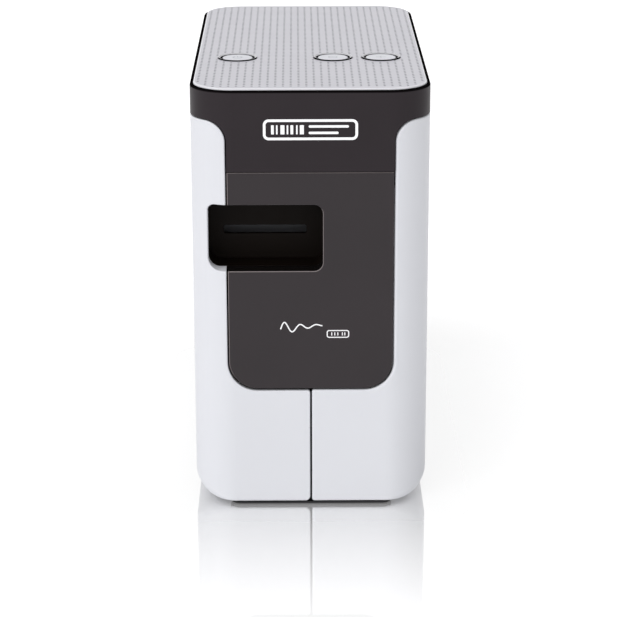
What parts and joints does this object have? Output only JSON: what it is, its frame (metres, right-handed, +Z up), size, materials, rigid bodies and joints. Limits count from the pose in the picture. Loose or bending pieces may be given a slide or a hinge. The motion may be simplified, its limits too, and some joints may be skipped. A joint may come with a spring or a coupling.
{
  "type": "label maker",
  "caption": "Upright desktop label printer with rounded white shells, a dark cap, top buttons, a hinged cassette door and a front label window with cutter.",
  "frame": {"origin": "on the table, under the middle of the base", "axes": "+Z up; -Y towards the front with the label window; -X towards the cassette door"},
  "size_m": [0.078, 0.152, 0.143],
  "materials": {
    "shell_white": "satin",
    "cap_grey": "fine satin",
    "plate_silver": "satin with a grid of small dimples",
    "button_white": "satin",
    "bezel_silver": "satin",
    "ring_smoke": "gloss",
    "base_black": "matte",
    "chute_black": "matte",
    "rubber_foot": "matte",
    "cell_jacket": "gloss jacket",
    "spring_steel": "bright",
    "steel": "bright",
    "sheet_steel": "zinc plated",
    "blade_steel": "ground",
    "motor_can": "zinc plated",
    "screw_black": "black oxide",
    "brass": "bright",
    "board_green": "solder mask",
    "switch_black": "satin",
    "chassis_grey": "matte",
    "heatsink": "mill finish",
    "head_ceramic": "glazed",
    "holder_blue": "satin",
    "roller_rubber": "matte",
    "gear_white": "satin",
    "gear_black": "satin",
    "ribbon_black": "gloss",
    "tape_white": "gloss",
    "cassette_grey": "satin",
    "connector_metal": "bright"
  },
  "bodies": {
    "housing": {"base_housing": "base_black", "battery_cells": "cell_jacket", "battery_contacts": "spring_steel", "bulkhead": "chassis_grey", "button_bezels": "bezel_silver", "button_board": "board_green", "button_guide": "base_black", "button_light_rings": "ring_smoke", "cassette_bay": "chassis_grey", "cassette_case_inner": "cassette_grey", "cassette_case_outer": "cassette_grey", "chassis_face": "chassis_grey", "cutter_frame": "sheet_steel", "cutter_motor": "motor_can", "dc_jack": "switch_black", "exit_chute": "chute_black", "feed_motor": "motor_can", "fixed_blade": "blade_steel", "front_panel": "cap_grey", "gear_plate": "sheet_steel", "holder_spring": "spring_steel", "label_tape": "tape_white", "machine_screws": "screw_black", "main_board": "board_green", "main_housing": "shell_white", "print_head": "head_ceramic", "print_head_heatsink": "heatsink", "rear_panel": "cap_grey", "rubber_feet": "rubber_foot", "steel_pins": "steel", "tact_switches": "switch_black", "top_cap": "cap_grey", "top_plate": "plate_silver", "usb_port": "connector_metal"},
    "door": {"cassette_door": "shell_white"},
    "power_button": {"power_button": "button_white"},
    "app_button": {"app_button": "button_white"},
    "feed_cut_button": {"feed_cut_button": "button_white"},
    "battery_cover": {"battery_cover": "base_black"},
    "roller_holder": {"roller_holder": "holder_blue"},
    "platen": {"platen_roller": "roller_rubber", "platen_shaft": "steel", "platen_gear": "gear_white"},
    "pinch": {"pinch_roller": "roller_rubber", "pinch_shaft": "steel"},
    "motor_pinion": {"motor_pinion": "brass"},
    "compound_gear": {"compound_gear": "gear_white"},
    "feed_idler": {"feed_idler_gear": "gear_white"},
    "reversing_gear": {"reversing_gear": "gear_white"},
    "takeup_idler": {"takeup_idler_gear": "gear_white"},
    "drive": {"drive_spindle": "gear_black", "cassette_drive_roller": "roller_rubber"},
    "takeup": {"takeup_spindle": "gear_black", "ribbon_takeup_spool": "ribbon_black"},
    "ribbon_supply": {"ribbon_supply_spool": "ribbon_black"},
    "tape_reel": {"tape_reel": "tape_white"},
    "cutter_crank": {"cutter_gear": "gear_white"},
    "cutter_blade": {"moving_blade": "blade_steel"},
    "cutter_pinion": {"cutter_pinion": "brass"}
  },
  "joints": [
    {"name": "door_hinge", "type": "hinge", "parent": "housing", "child": "door", "pos_m": [-0.0364, 0.064, 0.07], "axis": [0, 0, -1], "range_deg": [0, 100]},
    {"name": "power_button_press", "type": "slide", "parent": "housing", "child": "power_button", "axis": [0, 0, -1], "range_m": [0, 0.0008], "stiffness_N_per_m": 800},
    {"name": "app_button_press", "type": "slide", "parent": "housing", "child": "app_button", "axis": [0, 0, -1], "range_m": [0, 0.0008], "stiffness_N_per_m": 800},
    {"name": "feed_cut_button_press", "type": "slide", "parent": "housing", "child": "feed_cut_button", "axis": [0, 0, -1], "range_m": [0, 0.0008], "stiffness_N_per_m": 800},
    {"name": "battery_cover_pull", "type": "slide", "parent": "housing", "child": "battery_cover", "axis": [0, 0, -1], "range_m": [0, 0.008]},
    {"name": "holder_lift", "type": "hinge", "parent": "housing", "child": "roller_holder", "pos_m": [0, -0.004, 0.103], "axis": [1, 0, 0], "range_deg": [-6, 0], "stiffness_Nm_per_rad": 0.6, "springref_deg": 5.73, "deforming": ["holder_spring"]},
    {"name": "reel_spin", "type": "hinge", "parent": "housing", "child": "tape_reel", "pos_m": [0, -0.0025, 0.0723], "axis": [1, 0, 0], "continuous": true},
    {"name": "drive_spin", "type": "hinge", "parent": "housing", "child": "drive", "pos_m": [0, -0.041, 0.0882], "axis": [1, 0, 0], "continuous": true},
    {"name": "reversing_gear_spin", "type": "hinge", "parent": "housing", "child": "reversing_gear", "pos_m": [0, -0.03415, 0.08578], "axis": [1, 0, 0], "continuous": true},
    {"name": "feed_idler_spin", "type": "hinge", "parent": "housing", "child": "feed_idler", "pos_m": [0, -0.02389, 0.08579], "axis": [1, 0, 0], "continuous": true},
    {"name": "platen_spin", "type": "hinge", "parent": "roller_holder", "child": "platen", "pos_m": [0, -0.0315, 0.09665], "axis": [1, 0, 0], "continuous": true},
    {"name": "pinch_spin", "type": "hinge", "parent": "roller_holder", "child": "pinch", "pos_m": [0, -0.041, 0.0952], "axis": [1, 0, 0], "continuous": true},
    {"name": "takeup_idler_spin", "type": "hinge", "parent": "housing", "child": "takeup_idler", "pos_m": [0, -0.02251, 0.07019], "axis": [1, 0, 0], "continuous": true},
    {"name": "takeup_spin", "type": "hinge", "parent": "housing", "child": "takeup", "pos_m": [0, -0.032, 0.0585], "axis": [1, 0, 0], "continuous": true},
    {"name": "ribbon_supply_spin", "type": "hinge", "parent": "housing", "child": "ribbon_supply", "pos_m": [0, -0.0295, 0.073], "axis": [1, 0, 0], "continuous": true},
    {"name": "compound_gear_spin", "type": "hinge", "parent": "housing", "child": "compound_gear", "pos_m": [0, -0.01327, 0.08805], "axis": [1, 0, 0], "continuous": true},
    {"name": "motor_pinion_spin", "type": "hinge", "parent": "housing", "child": "motor_pinion", "pos_m": [0, -0.00121, 0.08805], "axis": [1, 0, 0], "continuous": true},
    {"name": "blade_swing", "type": "hinge", "parent": "housing", "child": "cutter_blade", "pos_m": [0.008, -0.048, 0.086], "axis": [0, 1, 0], "range_deg": [-11.73, 0]},
    {"name": "crank_turn", "type": "hinge", "parent": "housing", "child": "cutter_crank", "pos_m": [0.027, -0.048, 0.086], "axis": [0, 1, 0], "range_deg": [-0.2, 39.6]},
    {"name": "cutter_pinion_turn", "type": "hinge", "parent": "housing", "child": "cutter_pinion", "pos_m": [0.027, -0.048, 0.07574], "axis": [0, 1, 0], "range_deg": [-95.56, 1]}
  ],
  "couplings": [
    {"joint": "drive_spin", "follows": "reel_spin", "ratio": 5.2941},
    {"joint": "reversing_gear_spin", "follows": "reel_spin", "ratio": -7.4118},
    {"joint": "feed_idler_spin", "follows": "reel_spin", "ratio": 3.0882},
    {"joint": "platen_spin", "follows": "reel_spin", "ratio": -3.7059},
    {"joint": "pinch_spin", "follows": "reel_spin", "ratio": -5.4545},
    {"joint": "takeup_idler_spin", "follows": "reel_spin", "ratio": -2.6471},
    {"joint": "takeup_spin", "follows": "reel_spin", "ratio": 3.369},
    {"joint": "ribbon_supply_spin", "follows": "reel_spin", "ratio": 3.6},
    {"joint": "compound_gear_spin", "follows": "reel_spin", "ratio": -6.1765},
    {"joint": "motor_pinion_spin", "follows": "reel_spin", "ratio": 18.529},
    {"joint": "crank_turn", "follows": "blade_swing", "ratio": -3.358},
    {"joint": "cutter_pinion_turn", "follows": "blade_swing", "ratio": 8.0593}
  ]
}
